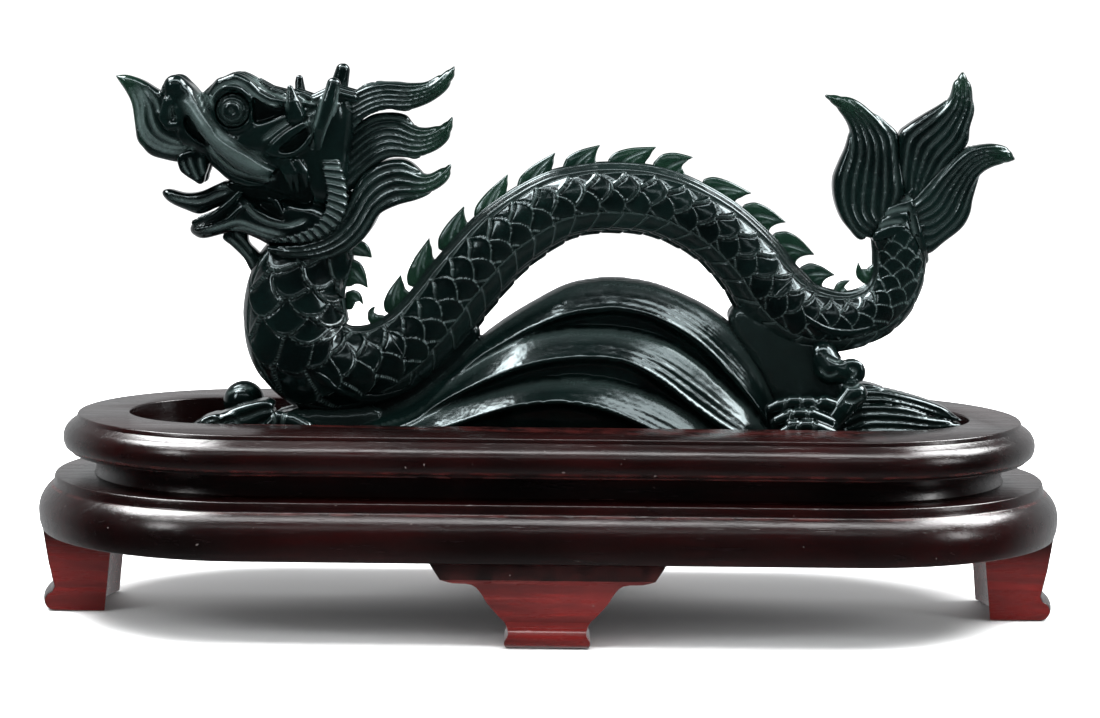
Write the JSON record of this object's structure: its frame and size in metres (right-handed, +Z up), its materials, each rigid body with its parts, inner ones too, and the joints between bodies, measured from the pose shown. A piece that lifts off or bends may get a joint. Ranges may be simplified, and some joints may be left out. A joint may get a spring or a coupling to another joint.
{
  "type": "jade dragon figurine on a wooden stand",
  "caption": "Long jade dragon carved as an arch over tiers of waves, head and flame tail raised, set loose in the well of an oval lacquered wooden stand with feet.",
  "frame": {"origin": "on the floor, under the middle of the stand", "axes": "+X along the stand towards the dragon's tail, the head facing -X; +Z up; the front of the stand faces -Y"},
  "size_m": [0.2666, 0.1148, 0.1414],
  "materials": {
    "lacquer": "dark mahogany lacquer, high gloss",
    "foot_wood": "redder lacquered wood, cut faces less glossy",
    "jade": "polished near-black green jade",
    "thin_jade": "polished green jade, thin enough to let light through"
  },
  "bodies": {
    "stand": {"rim_moulding": "lacquer", "well_floor": "lacquer", "waist_band": "lacquer", "plinth_moulding": "lacquer", "left_end_foot": "foot_wood", "right_end_foot": "foot_wood", "front_centre_foot": "foot_wood", "back_centre_foot": "foot_wood"},
    "carving": {"rock_base": "jade", "front_rock": "jade", "rear_rock": "jade", "wave_mound": "jade", "left_wave": "jade", "right_wave": "jade", "pearl": "jade", "front_body": "jade", "arch_body": "jade", "rear_body": "jade", "back_fins": "thin_jade", "tail_front_lobe": "thin_jade", "tail_top_lobe": "thin_jade", "tail_rear_lobe": "thin_jade", "skull": "jade", "snout_flame": "thin_jade", "lower_jaw": "jade", "tongue": "jade", "teeth": "jade", "eyes": "jade", "brow_horns": "jade", "main_horns": "jade", "ears": "jade", "mane_top_lock": "thin_jade", "mane_middle_lock": "thin_jade", "mane_lower_lock": "thin_jade", "gill_collar": "jade", "beard": "jade", "fore_claw": "jade", "hind_leg": "jade", "hind_foot": "jade"}
  },
  "joints": [
    {"name": "carving_lift", "type": "slide", "parent": "stand", "child": "carving", "axis": [0, 0, 1], "range_m": [0, 0.04]}
  ]
}
